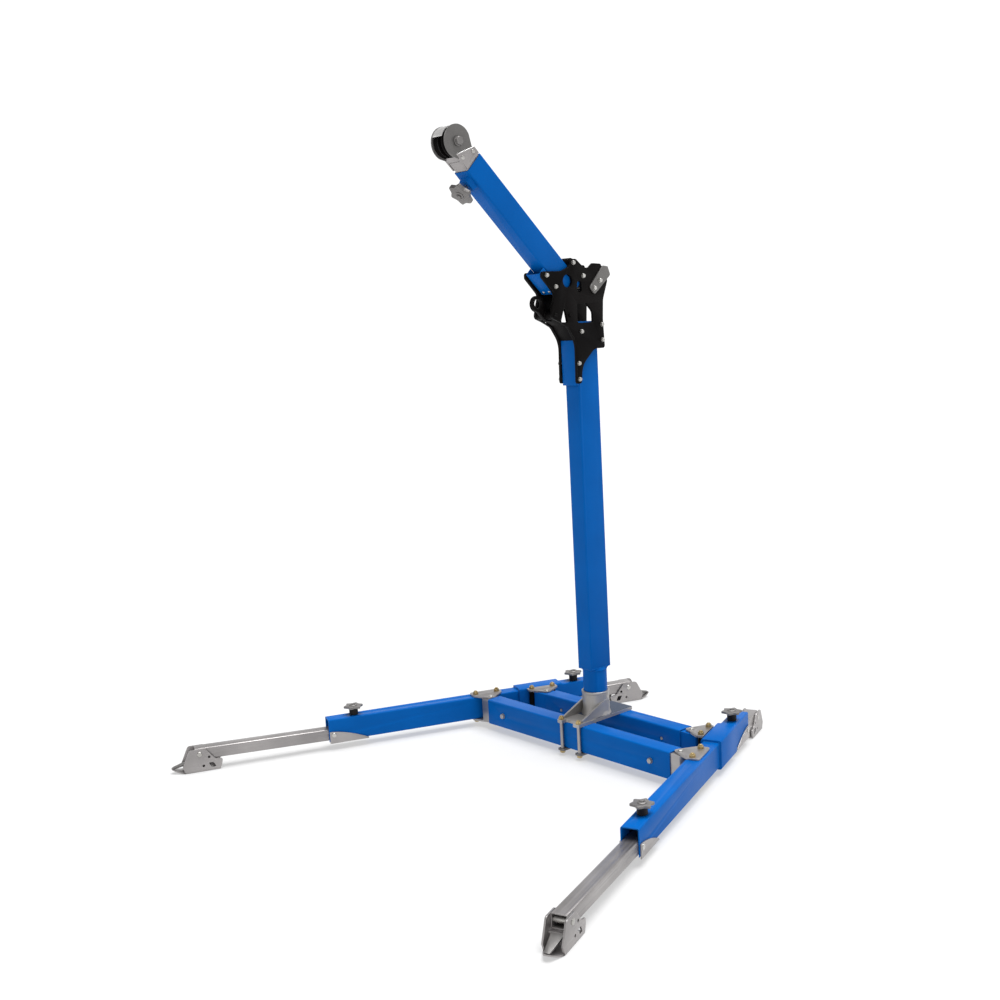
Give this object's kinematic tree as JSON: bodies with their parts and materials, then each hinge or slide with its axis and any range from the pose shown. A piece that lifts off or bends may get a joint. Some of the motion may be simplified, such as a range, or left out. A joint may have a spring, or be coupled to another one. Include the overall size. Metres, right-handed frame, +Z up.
{
  "type": "confined space davit",
  "caption": "Portable confined space davit: swivelling box mast with a telescoping raked arm and sheave head, on a splayed folding base with screw-levelled feet.",
  "frame": {"origin": "on the floor under the middle of the footprint", "axes": "+Z up along the mast, -Y towards the side that the arm reaches over, +X along the two cross beams"},
  "size_m": [1.7708, 1.5739, 1.9104],
  "materials": {
    "powder_blue": "satin blue powder coat",
    "black_plate": "satin black coat",
    "bare_aluminium": "mill finish, lightly brushed",
    "zinc_steel": "yellow zinc plated",
    "cast_grey": "cast, matt grey"
  },
  "bodies": {
    "base": {"front_beam": "powder_blue", "rear_beam": "powder_blue", "front_left_insert": "bare_aluminium", "front_right_insert": "bare_aluminium", "rear_left_insert": "bare_aluminium", "rear_right_insert": "bare_aluminium", "front_left_fold_pin": "zinc_steel", "front_right_fold_pin": "zinc_steel", "rear_left_fold_pin": "zinc_steel", "rear_right_fold_pin": "zinc_steel", "mast_socket": "bare_aluminium", "clamp_strap_left": "zinc_steel", "clamp_strap_right": "zinc_steel"},
    "front_left_leg": {"front_left_rail": "powder_blue", "front_left_upper_hinge_plate": "bare_aluminium", "front_left_lower_hinge_plate": "bare_aluminium", "front_left_mouth_saddle": "bare_aluminium", "front_left_mouth_pin": "zinc_steel"},
    "front_left_levelling_leg": {"front_left_extension": "bare_aluminium"},
    "front_left_foot": {"front_left_shoe": "bare_aluminium"},
    "front_left_jack": {"front_left_jack_knob": "cast_grey"},
    "front_right_leg": {"front_right_rail": "powder_blue", "front_right_upper_hinge_plate": "bare_aluminium", "front_right_lower_hinge_plate": "bare_aluminium", "front_right_mouth_saddle": "bare_aluminium", "front_right_mouth_pin": "zinc_steel"},
    "front_right_levelling_leg": {"front_right_extension": "bare_aluminium"},
    "front_right_foot": {"front_right_shoe": "bare_aluminium"},
    "front_right_jack": {"front_right_jack_knob": "cast_grey"},
    "rear_left_leg": {"rear_left_rail": "powder_blue", "rear_left_upper_hinge_plate": "bare_aluminium", "rear_left_lower_hinge_plate": "bare_aluminium", "rear_left_mouth_saddle": "bare_aluminium", "rear_left_mouth_pin": "zinc_steel"},
    "rear_left_levelling_leg": {"rear_left_extension": "bare_aluminium"},
    "rear_left_foot": {"rear_left_shoe": "bare_aluminium"},
    "rear_left_jack": {"rear_left_jack_knob": "cast_grey"},
    "rear_right_leg": {"rear_right_rail": "powder_blue", "rear_right_upper_hinge_plate": "bare_aluminium", "rear_right_lower_hinge_plate": "bare_aluminium", "rear_right_mouth_saddle": "bare_aluminium", "rear_right_mouth_pin": "zinc_steel"},
    "rear_right_levelling_leg": {"rear_right_extension": "bare_aluminium"},
    "rear_right_foot": {"rear_right_shoe": "bare_aluminium"},
    "rear_right_jack": {"rear_right_jack_knob": "cast_grey"},
    "mast": {"mast_tube": "powder_blue", "head_plate_left": "black_plate", "head_plate_right": "black_plate", "anchor_eye": "black_plate", "mast_saddle": "powder_blue", "arm_saddle": "powder_blue", "rear_lug": "cast_grey", "arm_tube": "powder_blue"},
    "inner_arm": {"inner_arm": "bare_aluminium", "tip_plate_left": "cast_grey", "tip_plate_right": "cast_grey", "sheave_axle": "zinc_steel"},
    "clamp": {"clamp_knob": "cast_grey"},
    "left_sheave": {"sheave_left": "black_plate"},
    "right_sheave": {"sheave_right": "black_plate"}
  },
  "joints": [
    {"name": "front_left_fold", "type": "hinge", "parent": "base", "child": "front_left_leg", "pos_m": [-0.4197, 0.18632, 0.0643], "axis": [0, 0, 1], "range_deg": [0, 42]},
    {"name": "front_left_level", "type": "hinge", "parent": "front_left_leg", "child": "front_left_levelling_leg", "pos_m": [-0.67214, -0.29494, 0.05027], "axis": [0.9291, -0.3697, 0], "range_deg": [-0.2, 12]},
    {"name": "front_left_foot_tilt", "type": "hinge", "parent": "front_left_levelling_leg", "child": "front_left_foot", "pos_m": [-0.83296, -0.69908, 0.05634], "axis": [0.9291, -0.3697, 0], "range_deg": [-14, 14]},
    {"name": "front_left_jack_turn", "type": "hinge", "parent": "front_left_leg", "child": "front_left_jack", "pos_m": [-0.64404, -0.22433, 0.1024], "axis": [0, 0, -1], "range_deg": [-16, 956]},
    {"name": "front_right_fold", "type": "hinge", "parent": "base", "child": "front_right_leg", "pos_m": [0.4197, 0.18632, 0.0643], "axis": [0, 0, -1], "range_deg": [0, 42]},
    {"name": "front_right_level", "type": "hinge", "parent": "front_right_leg", "child": "front_right_levelling_leg", "pos_m": [0.67214, -0.29494, 0.05027], "axis": [0.9291, 0.3697, 0], "range_deg": [-0.2, 12]},
    {"name": "front_right_foot_tilt", "type": "hinge", "parent": "front_right_levelling_leg", "child": "front_right_foot", "pos_m": [0.83296, -0.69908, 0.05634], "axis": [0.9291, 0.3697, 0], "range_deg": [-14, 14]},
    {"name": "front_right_jack_turn", "type": "hinge", "parent": "front_right_leg", "child": "front_right_jack", "pos_m": [0.64404, -0.22433, 0.1024], "axis": [0, 0, -1], "range_deg": [-16, 956]},
    {"name": "rear_left_fold", "type": "hinge", "parent": "base", "child": "rear_left_leg", "pos_m": [-0.32056, 0.35433, 0.0643], "axis": [0, 0, -1], "range_deg": [0, 28]},
    {"name": "rear_left_level", "type": "hinge", "parent": "rear_left_leg", "child": "rear_left_levelling_leg", "pos_m": [-0.32273, 0.58309, 0.05027], "axis": [-0.9291, 0.3697, 0], "range_deg": [-0.2, 12]},
    {"name": "rear_left_foot_tilt", "type": "hinge", "parent": "rear_left_levelling_leg", "child": "rear_left_foot", "pos_m": [-0.27651, 0.69922, 0.05201], "axis": [-0.9291, 0.3697, 0], "range_deg": [-14, 14]},
    {"name": "rear_left_jack_turn", "type": "hinge", "parent": "rear_left_leg", "child": "rear_left_jack", "pos_m": [-0.35083, 0.51247, 0.1024], "axis": [0, 0, -1], "range_deg": [-16, 956]},
    {"name": "rear_right_fold", "type": "hinge", "parent": "base", "child": "rear_right_leg", "pos_m": [0.32056, 0.35433, 0.0643], "axis": [0, 0, 1], "range_deg": [0, 28]},
    {"name": "rear_right_level", "type": "hinge", "parent": "rear_right_leg", "child": "rear_right_levelling_leg", "pos_m": [0.32273, 0.58309, 0.05027], "axis": [-0.9291, -0.3697, 0], "range_deg": [-0.2, 12]},
    {"name": "rear_right_foot_tilt", "type": "hinge", "parent": "rear_right_levelling_leg", "child": "rear_right_foot", "pos_m": [0.27651, 0.69922, 0.05201], "axis": [-0.9291, -0.3697, 0], "range_deg": [-14, 14]},
    {"name": "rear_right_jack_turn", "type": "hinge", "parent": "rear_right_leg", "child": "rear_right_jack", "pos_m": [0.35083, 0.51247, 0.1024], "axis": [0, 0, -1], "range_deg": [-16, 956]},
    {"name": "mast_swivel", "type": "hinge", "parent": "base", "child": "mast", "pos_m": [0, 0.27032, 0.117], "axis": [0, 0, 1], "continuous": true},
    {"name": "arm_telescope", "type": "slide", "parent": "mast", "child": "inner_arm", "axis": [0, -0.7157, 0.6984], "range_m": [-0.004, 0.25]},
    {"name": "clamp_turn", "type": "hinge", "parent": "mast", "child": "clamp", "pos_m": [0, -0.15459, 1.74569], "axis": [0, -0.6984, -0.7157], "range_deg": [0, 720]},
    {"name": "left_sheave_spin", "type": "hinge", "parent": "inner_arm", "child": "left_sheave", "pos_m": [-0.0164, -0.2013, 1.86392], "axis": [1, 0, 0], "continuous": true},
    {"name": "right_sheave_spin", "type": "hinge", "parent": "inner_arm", "child": "right_sheave", "pos_m": [0.0164, -0.2013, 1.86392], "axis": [1, 0, 0], "continuous": true}
  ],
  "couplings": [
    {"joint": "front_left_jack_turn", "follows": "front_left_level", "ratio": 79.59},
    {"joint": "front_right_jack_turn", "follows": "front_right_level", "ratio": 79.59},
    {"joint": "rear_left_jack_turn", "follows": "rear_left_level", "ratio": 79.59},
    {"joint": "rear_right_jack_turn", "follows": "rear_right_level", "ratio": 79.59}
  ]
}
